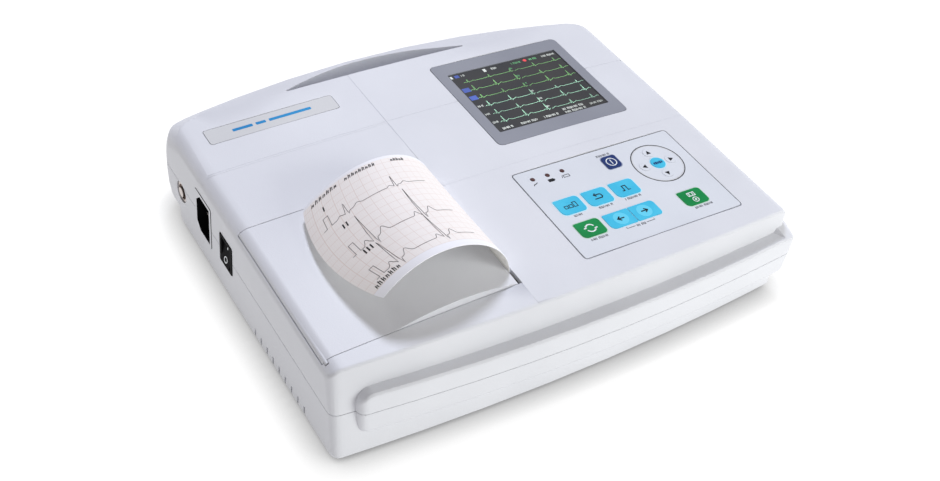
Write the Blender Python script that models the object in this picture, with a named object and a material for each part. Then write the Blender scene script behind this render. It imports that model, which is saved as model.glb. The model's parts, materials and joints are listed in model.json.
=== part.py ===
"""A portable three-channel ECG recorder: case halves with a rear handle and a front bumper, colour display,
key panel, thermal printer under a hinged paper door, mains entry and the boards inside.
Frame: +X to the operator's right, +Y to the rear, +Z up. The origin is at the middle of the footprint."""

import math

import bmesh
import bpy
from mathutils import Matrix, Vector

MM = 0.001
GAP = 0.3

# Outer case, in millimetres
HALF_WIDTH = 144.0
TOP_HEIGHT = 62.0
CROWN = 1.73e-4
CREASE_Y = -14.6
KEY_SLOPE = math.tan(math.radians(0.7))
CASE_BOTTOM = 2.0
PARTING_Z = 31.0
WALL = 2.5
FRONT_CORNER = 4.0
REAR_CORNER = 20.0
TOP_EDGE = 7.0
BOTTOM_EDGE = 2.6
FRONT_TOP_Y = -111.5
FRONT_SPLAY, FRONT_TWIST = 8.8, 0.015
FRONT_BOW = 3.0e-4
FRONT_APEX_X = 30.0
REAR_Y = 95.0

# Rear handle
HANDLE_REAR_Y = 122.4
HANDLE_BOW = 8.5e-4
HANDLE_CORNER = 10.0
HANDLE_BOTTOM = 12.0
HANDLE_DROP = 7.6
GRIP_X = -10.0
GRIP_HALF = 60
GRIP_REAR_Y = 112.4
GRIP_BOW = 0.00436

# Front bumper: its plan curve has its foremost point to the right of the middle
BUMPER_FRONT_Y, BUMPER_APEX_X = -122.6, 30.0
BUMPER_BOW = 3.7e-4
BUMPER_LEFT, BUMPER_RIGHT = -131.5, 146.5
BUMPER_LOW, BUMPER_HIGH = 13.6, 44.0
BUMPER_BACK = -101.4
BUMPER_END, BUMPER_NOSE = 8.0, 4.0
LUG_START, LUG_RISE, LUG_LIFT, LUG_CORNER = 134.0, 4.0, 5.0, 4.0

# Key panel and display, as centre, width and depth
PANEL_X, PANEL_Y, PANEL_W, PANEL_D = 63.8, -58.8, 110.3, 71.6
SCREEN_X, SCREEN_Y, SCREEN_W, SCREEN_D = 63.7, 41.7, 93.0, 80.3
LCD_W, LCD_D = 79.2, 59.4
KEY_TRAVEL = 0.8
KEY_RISE = 0.4
KEY_DEPTH = 3.0
PAD_R = 3.3
PAD_RING = 9.4
NAV_X, NAV_Y = 95.5, -46.3

# Printer
DOOR_LEFT, DOOR_RIGHT = -142.4, -33.3
DOOR_FRONT, DOOR_REAR = -93.7, 0.7
DOOR_WALL = 2.2
DOOR_LIP_Z = 54.6
HINGE_X, HINGE_Z, HINGE_R = -140.9, 55.9, 0.9
BULGE_X, BULGE_R, BULGE_H = -69.0, 132.0, 4.6
CASE_SLOT_X = -31.0
PLATEN_X, PLATEN_Z, PLATEN_R = -37.3, 51.9, 4.6
PLATEN_Y0, PLATEN_Y1 = -85.4, -3.4
SHAFT_R = 1.5
MODULE = 0.5
GEAR_TEETH, PINION_TEETH = 24, 12
GEAR_Y0, GEAR_Y1 = -91.6, -88.8
MESH_SLACK = 0.1
ROLL_X, ROLL_Z, ROLL_R, CORE_R = -82.0, 30.0, 21.0, 6.0
PAPER_Y0, PAPER_Y1 = -84.4, -4.4
PAPER_X = -32.35
PAPER_T = 0.3

# Left side
INLET_Y, INLET_Z, INLET_W, INLET_H = 44.0, 32.0, 17.0, 24.6
SWITCH_Y, SWITCH_Z, SWITCH_W, SWITCH_H = 13.7, 31.7, 15.4, 19.6
STUD_Y, STUD_Z, STUD_R = 75.7, 25.5, 6.3
VENTS, VENT_Y, VENT_PITCH, VENT_W = 9, -22.9, -7.2, 1.4
VENT_LOW, VENT_HIGH = 3.0, 9.2

# Right side, underside and inside
PORT_Y, PORT_Z, PORT_W, PORT_H = -20.0, 31.0, 39.4, 12.6
BATTERY_X, BATTERY_Y, BATTERY_W, BATTERY_D = 78.0, 34.0, 74.0, 66.0
FOOT_R, FOOT_X, FOOT_Y = 7.0, 118.0, 82.0
BOSSES = ((-127.0, -98.0), (127.0, -98.0), (-127.0, 62.0), (127.0, 80.0))

for old in list(bpy.data.objects):
    bpy.data.objects.remove(old, do_unlink=True)

parts = bpy.data.collections.new("ecg_recorder")
cutters = bpy.data.collections.new("cutters")
for group in (parts, cutters):
    bpy.context.scene.collection.children.link(group)


def material(name, colour, roughness=0.4, metallic=0.0):
    made = bpy.data.materials.new(name)
    made.use_nodes = True
    shader = made.node_tree.nodes["Principled BSDF"]
    shader.inputs["Base Color"].default_value = (*colour, 1.0)
    shader.inputs["Roughness"].default_value = roughness
    shader.inputs["Metallic"].default_value = metallic
    return made


WHITE = material("white_plastic", (0.80, 0.82, 0.86))
GREY = material("grey_bezel", (0.25, 0.26, 0.29))
BLACK = material("black_plastic", (0.02, 0.02, 0.02))
PALE = material("pale_panel", (0.66, 0.68, 0.71))
BLUE = material("blue_key", (0.08, 0.53, 0.87))
GREEN = material("green_key", (0.01, 0.27, 0.05))
NAVY = material("navy_key", (0.02, 0.05, 0.17))
LAMP = material("led_lens", (0.12, 0.02, 0.02), 0.2)
SCREEN = material("screen", (0.03, 0.035, 0.03), 0.1)
BOARD = material("circuit_board", (0.02, 0.16, 0.06))
STEEL = material("steel", (0.6, 0.6, 0.62), 0.25, 1.0)
NICKEL = material("nickel", (0.55, 0.5, 0.45), 0.25, 1.0)
RUBBER = material("rubber", (0.05, 0.05, 0.05), 0.8)
PAPER = material("paper", (0.86, 0.80, 0.76), 0.7)
NYLON = material("nylon", (0.75, 0.73, 0.66), 0.5)


def keep(name, shape, look, group=parts):
    """Turn a bmesh in millimetres into a named object."""
    bmesh.ops.recalc_face_normals(shape, faces=shape.faces)
    if shape.calc_volume(signed=True) < 0:
        bmesh.ops.reverse_faces(shape, faces=shape.faces)
    bmesh.ops.scale(shape, vec=(MM, MM, MM), verts=shape.verts)
    mesh = bpy.data.meshes.new(name)
    shape.to_mesh(mesh)
    shape.free()
    mesh.shade_smooth()
    mesh.set_sharp_from_angle(angle=math.radians(32))
    obj = bpy.data.objects.new(name, mesh)
    group.objects.link(obj)
    if look:
        mesh.materials.append(look)
    if group is cutters:
        obj.hide_render = True
        obj.display_type = "WIRE"
    return obj


def cut(obj, cutter, operation="DIFFERENCE"):
    step = obj.modifiers.new(cutter.name, "BOOLEAN")
    step.operation = operation
    step.object = cutter


def loft(rings):
    """Skin closed rings of equal point count, and cap both ends."""
    shape = bmesh.new()
    rows = [[shape.verts.new(p) for p in ring] for ring in rings]
    count = len(rows[0])
    for near, far in zip(rows, rows[1:]):
        for i in range(count):
            j = (i + 1) % count
            shape.faces.new((near[i], near[j], far[j], far[i]))
    shape.faces.new(rows[0])
    shape.faces.new(rows[-1])
    return shape


def block(low, high):
    shape = bmesh.new()
    bmesh.ops.create_cube(shape, size=1.0)
    size = [b - a for a, b in zip(low, high)]
    middle = [(a + b) / 2 for a, b in zip(low, high)]
    bmesh.ops.scale(shape, vec=size, verts=shape.verts)
    bmesh.ops.translate(shape, vec=middle, verts=shape.verts)
    return shape


def rod(radius, start, length, axis="Z", sides=24, end_radius=None):
    """A cylinder or cone from start along +axis."""
    shape = bmesh.new()
    top = radius if end_radius is None else end_radius
    bmesh.ops.create_cone(
        shape, cap_ends=True, segments=sides, radius1=radius, radius2=top, depth=length)
    bmesh.ops.translate(shape, vec=(0, 0, length / 2), verts=shape.verts)
    turn = {"Z": Matrix(), "X": Matrix.Rotation(math.pi / 2, 4, "Y"),
            "Y": Matrix.Rotation(-math.pi / 2, 4, "X")}[axis]
    bmesh.ops.transform(shape, matrix=Matrix.Translation(start) @ turn, verts=shape.verts)
    return shape


def merged(*shapes):
    """Overlapping or separate shapes in one bmesh; only for cutters."""
    whole = bmesh.new()
    for shape in shapes:
        bmesh.ops.recalc_face_normals(shape, faces=shape.faces)
        mesh = bpy.data.meshes.new("scratch")
        shape.to_mesh(mesh)
        shape.free()
        whole.from_mesh(mesh)
        bpy.data.meshes.remove(mesh)
    return whole


def rounded(width, depth, radii, steps=3):
    """Counter-clockwise outline about the origin; radii run from the rear right corner to the left."""
    points = []
    signs = ((1, 1), (-1, 1), (-1, -1), (1, -1))
    for turn, ((sx, sy), radius) in enumerate(zip(signs, radii)):
        for step in range(steps + 1):
            angle = math.pi / 2 * (turn + step / steps)
            points.append((sx * (width / 2 - radius) + radius * math.cos(angle),
                           sy * (depth / 2 - radius) + radius * math.sin(angle)))
    return points


def circle(radius, sides=24):
    return [(radius * math.cos(2 * math.pi * i / sides), radius * math.sin(2 * math.pi * i / sides))
            for i in range(sides)]


def prism(outline, low, high, frame=None, at=(0.0, 0.0)):
    """An outline in a frame's XY plane, from low to high along its Z."""
    shape = loft([[(x + at[0], y + at[1], z) for x, y in outline] for z in (low, high)])
    if frame:
        bmesh.ops.transform(shape, matrix=frame, verts=shape.verts)
    return shape


def arc_drop(distance, start, radius):
    """How far a rounded edge falls away beyond start."""
    reach = min(max(distance - start, 0.0), radius)
    return radius - math.sqrt(radius * radius - reach * reach)


def top_z(x, y, inset=0.0):
    """Height of the case's top: a shallow crown with a slight fall over the key half."""
    fall = KEY_SLOPE * max(0.0, CREASE_Y - y)
    edge = arc_drop(abs(x), HALF_WIDTH - TOP_EDGE, TOP_EDGE - inset)
    return TOP_HEIGHT - inset - CROWN * x * x - fall - edge


def panel_frame(x, y, width, slope):
    """A flat panel's frame let into the crown: its top plane meets the crown at both side edges."""
    left, right = x - width / 2, x + width / 2
    tilt = math.atan(CROWN * (right * right - left * left) / width)
    chord = TOP_HEIGHT - CROWN * (left * left + right * right) / 2
    fall = KEY_SLOPE * max(0.0, CREASE_Y - y)
    place = Matrix.Translation((x, y, chord - fall))
    return place @ Matrix.Rotation(tilt, 4, "Y") @ Matrix.Rotation(math.atan(slope), 4, "X")


def filleted(corners, steps=3):
    """A closed outline with its corners rounded; each corner is y, z and radius."""
    points = []
    for i, (y, z, radius) in enumerate(corners):
        here = Vector((y, z))
        if not radius:
            points.append((y, z))
            continue
        before = (Vector(corners[i - 1][:2]) - here).normalized()
        after = (Vector(corners[(i + 1) % len(corners)][:2]) - here).normalized()
        half = before.angle(after) / 2
        reach = radius / math.tan(half)
        start, end = here + before * reach, here + after * reach
        centre = here + (before + after).normalized() * radius / math.sin(half)
        for step in range(steps + 1):
            mix = start.lerp(end, step / steps) - centre
            points.append(tuple(centre + mix.normalized() * radius))
    return points


def case_section(x):
    """The closed case in the YZ plane at x, handle included."""
    front = FRONT_BOW * (x - FRONT_APEX_X) ** 2
    front += arc_drop(abs(x), HALF_WIDTH - FRONT_CORNER, FRONT_CORNER)
    splay = FRONT_SPLAY - FRONT_TWIST * x
    corner = arc_drop(abs(x), HALF_WIDTH - REAR_CORNER, REAR_CORNER)
    low = CASE_BOTTOM + arc_drop(abs(x), HALF_WIDTH - BOTTOM_EDGE, BOTTOM_EDGE)
    brow, rear = FRONT_TOP_Y + front, REAR_Y - corner
    back = HANDLE_REAR_Y - HANDLE_BOW * x * x - arc_drop(abs(x), HALF_WIDTH - HANDLE_CORNER, HANDLE_CORNER)
    deep = back - rear
    high = top_z(x, rear)
    return [(x, y, z) for y, z in filleted((
        (brow - splay, low, 3.0),
        (brow, top_z(x, brow), 2.2),
        (CREASE_Y, top_z(x, CREASE_Y), 0),
        (rear, high, 0),
        (back - 0.20 * deep, high - HANDLE_DROP, 1.6),
        (back - 0.05 * deep, high - 2 * HANDLE_DROP + 2, 0),
        (back, 36.0, 0),
        (back, 27.0, 0),
        (back - 0.08 * deep, 18.0, 0),
        (back - 0.30 * deep, HANDLE_BOTTOM, 1.2),
        (rear, HANDLE_BOTTOM, 0),
        (rear, low, 2.0),
    ))]


def hollow_section(x):
    """The space inside the walls at x."""
    front = FRONT_BOW * (x - FRONT_APEX_X) ** 2
    front += arc_drop(abs(x), HALF_WIDTH - FRONT_CORNER, FRONT_CORNER - WALL)
    splay = FRONT_SPLAY - FRONT_TWIST * x
    corner = arc_drop(abs(x), HALF_WIDTH - REAR_CORNER, REAR_CORNER - WALL)
    low = CASE_BOTTOM + WALL + arc_drop(abs(x), HALF_WIDTH - BOTTOM_EDGE, BOTTOM_EDGE - WALL)
    brow, rear = FRONT_TOP_Y + WALL + front, REAR_Y - WALL - corner
    return [(x, brow - splay, low), (x, brow, top_z(x, brow, WALL)),
            (x, CREASE_Y, top_z(x, CREASE_Y, WALL)), (x, rear, top_z(x, rear, WALL)), (x, rear, low)]


def both_ways(distances):
    return [-d for d in reversed(distances)] + list(distances)


CASE_STATIONS = both_ways((20, 60, 95, 120, 129, 134, 137, 139.5, 141.5, 143, 143.75, 144))
HOLLOW_STATIONS = both_ways((35, 85, 120, 130, 136, 139, 140.8, 141.45))


def bumper_section(x):
    """The bumper bar in the YZ plane at x. Its ends are rounded, and a lug stands up behind the right one."""
    reach = min(x - BUMPER_LEFT, BUMPER_RIGHT - x)
    lug = min(1.0, max(0.0, (x - LUG_START) / LUG_RISE))
    corner = LUG_CORNER if lug else BUMPER_END
    tip = LUG_CORNER if lug else BUMPER_NOSE
    round_off = arc_drop(corner - min(reach, corner), 0, corner)
    low, high = BUMPER_LOW + round_off, BUMPER_HIGH - round_off
    nose = BUMPER_FRONT_Y + BUMPER_BOW * (x - BUMPER_APEX_X) ** 2 + arc_drop(tip - min(reach, tip), 0, tip)
    edge = 0.033 * (high - low)
    return [(x, y, z) for y, z in (
        (BUMPER_BACK, low), (nose + 5.0, low), (nose + 2.2, low + edge), (nose + 0.8, low + 3 * edge),
        (nose + 0.2, low + 5.5 * edge), (nose, PARTING_Z), (nose + 0.1, high - 2.4 * edge),
        (nose + 0.5, high - edge), (nose + 1.6, high), (BUMPER_BACK, high + LUG_LIFT * lug))]


def bumper_stations():
    left = [BUMPER_LEFT + e for e in (0.0, 0.6, 1.8, 3.4, 5.4, 8.0)]
    right = [BUMPER_RIGHT - e for e in (12.5, 8.5, 4.3, 3.0, 1.5, 0.5, 0.0)]
    return left + [-100, -70, -40, -10, 20, 50, 80, 110] + right


def grip_outline():
    """The finger gap in plan: straight along the case, bowed along the handle."""
    steps = 12
    rear = [GRIP_HALF - 2 * GRIP_HALF * i / steps for i in range(steps + 1)]
    return ([(GRIP_X - GRIP_HALF, REAR_Y + 0.05), (GRIP_X + GRIP_HALF, REAR_Y + 0.05)]
            + [(GRIP_X + x, GRIP_REAR_Y - GRIP_BOW * x * x) for x in rear])


PANEL = panel_frame(PANEL_X, PANEL_Y, PANEL_W, KEY_SLOPE)
DISPLAY = panel_frame(SCREEN_X, SCREEN_Y, SCREEN_W, 0.0)
PLATE_X, PLATE_Y, PLATE_W, PLATE_D = -88.7, 75.3, 78.5, 12.4
NAMEPLATE = panel_frame(PLATE_X, PLATE_Y, PLATE_W, 0.0)


def helper(name, shape):
    return keep(name, shape, None, cutters)


def inlet_outline(grow=0.0):
    """The mains inlet's mouth in plan: a rectangle with two corners cut on its rear long side."""
    w, h, c = INLET_W / 2 + grow, INLET_H / 2 + grow, 4.6
    return [(-w, -h), (w - c, -h), (w, -h + c), (w, h - c), (w - c, h), (-w, h)]


def side_frame(y, z, side=-1):
    """A frame on a side wall: its Z points out of the wall, its X to the rear and its Y up."""
    turn = Matrix(((0, 0, side, side * HALF_WIDTH), (1, 0, 0, y), (0, 1, 0, z), (0, 0, 0, 1)))
    return turn


LEFT_INLET = side_frame(INLET_Y, INLET_Z)
LEFT_SWITCH = side_frame(SWITCH_Y, SWITCH_Z)
LEFT_STUD = side_frame(STUD_Y, STUD_Z)
RIGHT_PORT = side_frame(PORT_Y, PORT_Z, 1)


def case_cutters():
    """Openings that both case halves may share, as cutter objects."""
    hollow = helper("cut_hollow", loft([hollow_section(x) for x in HOLLOW_STATIONS]))
    grip = helper("cut_grip", prism(grip_outline(), -5, 80))
    mouth = rounded(INLET_W + 4.6, INLET_H + 4.6, (1.5,) * 4, 2)
    inlet = helper("cut_inlet", prism(mouth, -9, 4, LEFT_INLET))
    mouth = rounded(SWITCH_W + 0.6, SWITCH_H + 0.6, (1,) * 4, 2)
    switch = helper("cut_switch", prism(mouth, -9, 4, LEFT_SWITCH))
    stud = helper("cut_stud", prism(circle(STUD_R + GAP, 28), -9, 4, LEFT_STUD))
    port = helper("cut_port", prism(rounded(PORT_W + 0.6, PORT_H + 0.6, (2,) * 4, 2), -9, 4, RIGHT_PORT))
    cores = [helper(f"cut_root_{side}", block((min(a, b), 88, 15.5), (max(a, b), 101, 47)))
             for side, a, b in (("left", -119, -79), ("right", 79, 119))]
    return [hollow, grip, inlet, switch, stud, port, *cores]


def upper_case(shared):
    case = keep("upper_case", loft([case_section(x) for x in CASE_STATIONS]), WHITE)
    cut(case, helper("add_bumper", loft([bumper_section(x) for x in bumper_stations()])), "UNION")
    cut(case, helper("cut_below", block((-200, -200, -20), (200, 200, PARTING_Z + GAP / 2))))
    for cutter in shared:
        cut(case, cutter)
    for i, (x, y) in enumerate(BOSSES):
        cut(case, helper(f"add_post_{i}", rod(4.2, (x, y, PARTING_Z + GAP / 2), 26.2, sides=16)), "UNION")
        cut(case, helper(f"cut_post_{i}", rod(1.75, (x, y, PARTING_Z - 2), 12, sides=12)))
    door = merged(
        block((DOOR_LEFT - GAP, DOOR_FRONT - GAP, 53.0), (CASE_SLOT_X, DOOR_REAR + GAP, 90)))
    cut(case, helper("cut_door", door))
    cut(case, helper("cut_hinge", rod(HINGE_R + 0.09, (HINGE_X, DOOR_FRONT - 2.4, HINGE_Z), 99.3, "Y", 16)))
    recess = rounded(SCREEN_W + 0.6, SCREEN_D + 0.6, (3.3,) * 4)
    cut(case, helper("cut_display", prism(recess, -9, 5, DISPLAY)))
    cut(case, helper("cut_panel", prism(rounded(PANEL_W + 0.6, PANEL_D + 0.6, (2.3,) * 4), -1.3, 5, PANEL)))
    cut(case, helper("cut_keys", prism(rounded(PANEL_W - 5, PANEL_D - 5, (2,) * 4, 2), -9, 5, PANEL)))
    recess = rounded(PLATE_W + 0.6, PLATE_D + 0.6, (1.6,) * 4)
    cut(case, helper("cut_plate", prism(recess, -0.8, 5, NAMEPLATE)))
    return case


def lower_case(shared):
    case = keep("lower_case", loft([case_section(x) for x in CASE_STATIONS]), WHITE)
    cut(case, bpy.data.objects["add_bumper"], "UNION")
    cut(case, helper("cut_above", block((-200, -200, PARTING_Z - GAP / 2), (200, 200, 120))))
    for cutter in shared:
        cut(case, cutter)
    for i, (x, y) in enumerate(BOSSES):
        cut(case, helper(f"add_boss_{i}", rod(5.0, (x, y, CASE_BOTTOM + 1), 27.85, sides=16)), "UNION")
        cut(case, helper(f"cut_boss_{i}", rod(1.75, (x, y, -2), 40, sides=12)))
        cut(case, helper(f"cut_head_{i}", rod(3.4, (x, y, -2), 9.5, sides=16)))
    for name, x, y in feet():
        cut(case, helper(f"cut_{name}", rod(FOOT_R + GAP, (x, y, -2), 5.3, sides=24)))
    for i in range(VENTS):
        y = VENT_Y + i * VENT_PITCH
        slot = block((-150, y - VENT_W / 2, VENT_LOW), (-138, y + VENT_W / 2, VENT_HIGH))
        cut(case, helper(f"cut_vent_{i}", slot))
    low, high = battery_corners(GAP)
    cut(case, helper("cut_battery", block((*low, -2), (*high, 4.0))))
    low, high = battery_corners(-3.0)
    cut(case, helper("cut_battery_bay", block((*low, -2), (*high, 8))))
    return case


def feet():
    return [(f"foot_{end}_{side}", sx * FOOT_X, sy * FOOT_Y - 6)
            for end, sy in (("front", -1), ("rear", 1)) for side, sx in (("left", -1), ("right", 1))]


def battery_corners(grow):
    return ((BATTERY_X - BATTERY_W / 2 - grow, BATTERY_Y - BATTERY_D / 2 - grow),
            (BATTERY_X + BATTERY_W / 2 + grow, BATTERY_Y + BATTERY_D / 2 + grow))


def underside():
    for name, x, y in feet():
        keep(name, rod(FOOT_R - 0.6, (x, y, 0), 2.9, sides=24, end_radius=FOOT_R), RUBBER)
    for i, (x, y) in enumerate(BOSSES):
        screw = keep(f"case_screw_{i + 1}", rod(3.0, (x, y, 4.6), 2.6, sides=16), STEEL)
        cut(screw, helper(f"add_shank_{i}", rod(1.45, (x, y, 6.0), 32, sides=12)), "UNION")
        cut(screw, helper(f"cut_cross_{i}", merged(block((x - 2, y - 0.4, 4), (x + 2, y + 0.4, 5.6)))))
    low, high = battery_corners(0)
    cover = keep("battery_cover", block((*low, CASE_BOTTOM), (*high, 3.7)), WHITE)
    screw_x, screw_y = BATTERY_X, low[1] + 5
    cut(cover, helper("cut_cover_screw", rod(2.3, (screw_x, screw_y, 0), 8, sides=16)))
    keep("battery_cover_screw", rod(2.0, (screw_x, screw_y, CASE_BOTTOM + 0.3), 3.0, sides=16), STEEL)
    low, high = battery_corners(-4)
    keep("battery_pack", block((*low, 6.0), (*high, 26.0)), BLUE)


def display():
    bezel = keep("display_bezel", prism(rounded(SCREEN_W, SCREEN_D, (3,) * 4), -1.8, 0.15, DISPLAY), GREY)
    cut(bezel, helper("cut_window", prism(rounded(LCD_W, LCD_D, (0.4,) * 4, 1), -4, 4, DISPLAY)))
    pane = rounded(LCD_W - 0.6, LCD_D - 0.6, (0.3,) * 4, 1)
    keep("display_window", prism(pane, -3.2, -0.35, DISPLAY), SCREEN)
    keep("lcd_module", prism(rounded(LCD_W + 9, LCD_D + 12, (1,) * 4, 1), -8.0, -3.5, DISPLAY), STEEL)


LEAF = (2.2, 0.9, 3.2, 2.2)
KEYS = (
    ("power_key", NAVY, 69.8, -35.2, 10.2, 10.2, (1.2, 2.6, 1.2, 2.6)),
    ("sensitivity_key", BLUE, 25.3, -56.7, 16.0, 12.0, LEAF),
    ("recall_key", BLUE, 44.2, -56.7, 16.0, 12.0, LEAF),
    ("copy_key", BLUE, 63.2, -56.7, 16.0, 12.0, LEAF),
    ("mode_key", GREEN, 25.2, -76.0, 16.0, 11.6, LEAF),
    ("lead_back_key", BLUE, 44.8, -76.4, 17.2, 11.4, (0.4, 0.9, 3.2, 0.4)),
    ("lead_forward_key", BLUE, 62.6, -76.4, 17.2, 11.4, (2.2, 0.4, 0.4, 2.2)),
    ("print_key", GREEN, 95.8, -78.2, 16.0, 11.8, LEAF),
)
PADS = (("up_key", 0, 1), ("right_key", 1, 0), ("down_key", 0, -1), ("left_key", -1, 0))
LAMPS = (("mains_led", 18.1), ("battery_led", 28.1), ("charge_led", 38.2))
LAMP_Y, LAMP_R, MENU_R = -30.5, 1.3, 4.5


def on_panel(x, y):
    """Plan place to the panel frame's own X and Y."""
    return x - PANEL_X, y - PANEL_Y


def key_panel():
    overlay = keep("keypad_overlay", prism(rounded(PANEL_W, PANEL_D, (2,) * 4), -1.0, 0.1, PANEL), PALE)
    for name, look, x, y, w, d, radii in KEYS:
        spot = on_panel(x, y)
        keep(name, prism(rounded(w, d, radii), -KEY_DEPTH, KEY_RISE, PANEL, spot), look)
        grown = tuple(r + GAP for r in radii)
        hole = prism(rounded(w + 2 * GAP, d + 2 * GAP, grown), -4, 4, PANEL, spot)
        cut(overlay, helper(f"cut_{name}", hole))
    for name, ax, ay in PADS:
        spot = on_panel(NAV_X + ax * PAD_RING, NAV_Y + ay * PAD_RING)
        keep(name, prism(circle(PAD_R, 16), -KEY_DEPTH, 0.1 + KEY_RISE / 2, PANEL, spot), PALE)
        cut(overlay, helper(f"cut_{name}", prism(circle(PAD_R + GAP, 16), -4, 4, PANEL, spot)))
    spot = on_panel(NAV_X, NAV_Y)
    keep("menu_key", prism(circle(MENU_R, 20), -KEY_DEPTH, KEY_RISE, PANEL, spot), BLUE)
    cut(overlay, helper("cut_menu_key", prism(circle(MENU_R + GAP, 20), -4, 4, PANEL, spot)))
    for name, x in LAMPS:
        spot = on_panel(x, LAMP_Y)
        keep(name, prism(circle(LAMP_R, 14), -4.2, 0.3, PANEL, spot), LAMP)
        cut(overlay, helper(f"cut_{name}", prism(circle(LAMP_R + 0.2, 14), -4, 4, PANEL, spot)))
    keep("keypad_board", prism(rounded(PANEL_W - 8, PANEL_D - 8, (1,) * 4, 1), -6.2, -4.6, PANEL), BOARD)
    keep("nameplate", prism(rounded(PLATE_W, PLATE_D, (1.4,) * 4), -0.45, 0.12, NAMEPLATE), PALE)


def side_fittings():
    body = rounded(INLET_W + 4, INLET_H + 4, (1.2,) * 4, 2)
    inlet = keep("mains_inlet", prism(body, -18, 0.25, LEFT_INLET), BLACK)
    cut(inlet, helper("cut_inlet_mouth", prism(inlet_outline(), -14, 3, LEFT_INLET)))
    pins = (("inlet_pin_line", -2.0, 7.0), ("inlet_pin_neutral", -2.0, -7.0), ("inlet_pin_earth", 2.0, 0.0))
    for name, dy, dz in pins:
        blade = rounded(4.0, 2.0, (0.5,) * 4, 1)
        hole = rounded(4.0 + 2 * GAP, 2.0 + 2 * GAP, (0.6,) * 4, 1)
        keep(name, prism(blade, -21, -3.5, LEFT_INLET, (dy, dz)), NICKEL)
        cut(inlet, helper(f"cut_{name}", prism(hole, -25, 2, LEFT_INLET, (dy, dz))))
    body = rounded(SWITCH_W, SWITCH_H, (0.8,) * 4, 2)
    frame = keep("switch_frame", prism(body, -13, 0.4, LEFT_SWITCH), BLACK)
    cut(frame, helper("cut_rocker", prism(rounded(11.0, 16.4, (0.4,) * 4, 1), -9, 3, LEFT_SWITCH)))
    rocker = [(-7.6, -3.4), (-6.4, -5.6), (6.4, -5.6), (7.6, -3.4), (7.6, -1.6), (0, -0.6), (-7.6, 1.0)]
    shape = loft([[(x, y, z) for y, z in rocker] for x in (-5.1, 5.1)])
    bmesh.ops.transform(shape, matrix=LEFT_SWITCH, verts=shape.verts)
    keep("power_rocker", shape, BLACK)
    ring = keep("equipotential_ring", prism(circle(STUD_R, 28), -3.5, -0.6, LEFT_STUD), NICKEL)
    cut(ring, helper("cut_ring_well", prism(circle(4.7, 24), -1.8, 3, LEFT_STUD)))
    cut(ring, helper("cut_ring_bore", prism(circle(3.3, 16), -9, 3, LEFT_STUD)))
    keep("equipotential_stud", prism(circle(3.0, 16), -13, 0.3, LEFT_STUD), NICKEL)
    port = keep("patient_port", prism(rounded(PORT_W, PORT_H, (1.8,) * 4, 2), -12, 1.0, RIGHT_PORT), STEEL)
    shell = [(-12.4, -3.9), (12.4, -3.9), (13.4, 3.9), (-13.4, 3.9)]
    cut(port, helper("cut_port_mouth", prism(shell, -7, 3, RIGHT_PORT)))


def door_under(x):
    """Underside height of the door at x; the left lip is kept thick down to its edge."""
    level = top_z(x, CREASE_Y) - DOOR_WALL
    return max(level, DOOR_LIP_Z) if x < -139 else level


def door_top(x, y):
    reach = x - BULGE_X
    swell = max(0.0, math.sqrt(BULGE_R ** 2 - reach * reach) - (BULGE_R - BULGE_H))
    return top_z(x, y) + swell


def paper_door():
    stations = (-142.4, -141.6, -140.5, -139.0, -137.0, -120.0, -104.0,
                -98, -90, -80, -69, -58, -48, -40, DOOR_RIGHT)
    rings = []
    for x in stations:
        under = door_under(x) - door_top(x, CREASE_Y)
        ys = (DOOR_FRONT, CREASE_Y, DOOR_REAR)
        rings.append([(x, y, door_top(x, y)) for y in ys]
                     + [(x, y, door_top(x, y) + under) for y in reversed(ys)])
    door = keep("paper_door", loft(rings), WHITE)
    for i, (y0, y1) in enumerate(((-88.2, -86.2), (-2.6, -0.8))):
        ear = prism([(-5.2, 8.5), (-4.2, -1), (-2, -3.2), (2, -3.2), (4.0, -1), (4.0, 8.5)], y0, y1)
        turn = Matrix(((1, 0, 0, PLATEN_X), (0, 0, 1, 0), (0, 1, 0, PLATEN_Z), (0, 0, 0, 1)))
        bmesh.ops.transform(ear, matrix=turn, verts=ear.verts)
        cut(door, helper(f"add_ear_{i}", ear), "UNION")
    pins = rod(HINGE_R, (HINGE_X, DOOR_FRONT - 1.8, HINGE_Z), 98.1, "Y", 16)
    cut(door, helper("add_hinge_pins", pins), "UNION")
    cut(door, helper("cut_ears", rod(SHAFT_R + 0.09, (PLATEN_X, -95, PLATEN_Z), 99, "Y", 20)))
    return door


def gear(name, teeth, centre, tooth_up, bore):
    """A spur gear about the Y axis; a tooth or a gap points straight up."""
    pitch_r = MODULE * teeth / 2
    outer, root = pitch_r + 0.85 * MODULE, pitch_r - 1.15 * MODULE
    outline = []
    for i in range(teeth):
        middle = 2 * math.pi * (i + (0 if tooth_up else 0.5)) / teeth + math.pi / 2
        pitch = 2 * math.pi / teeth
        for offset, radius in ((-0.29, root), (-0.12, outer), (0.12, outer), (0.29, root)):
            angle = middle + offset * pitch
            outline.append((radius * math.cos(angle), radius * math.sin(angle)))
    shape = loft([[(centre[0] + x, y, centre[1] + z) for x, z in outline] for y in (GEAR_Y0, GEAR_Y1)])
    wheel = keep(name, shape, NYLON)
    cut(wheel, helper(f"cut_{name}_bore", rod(bore, (centre[0], -99, centre[1]), 20, "Y", 16)))
    return wheel


def bezier(a, b, c, d, steps):
    points = []
    for i in range(steps + 1):
        t = i / steps
        weights = ((1 - t) ** 3, 3 * t * (1 - t) ** 2, 3 * t * t * (1 - t), t ** 3)
        points.append(tuple(sum(w * p[k] for w, p in zip(weights, (a, b, c, d))) for k in (0, 1)))
    return points


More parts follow.
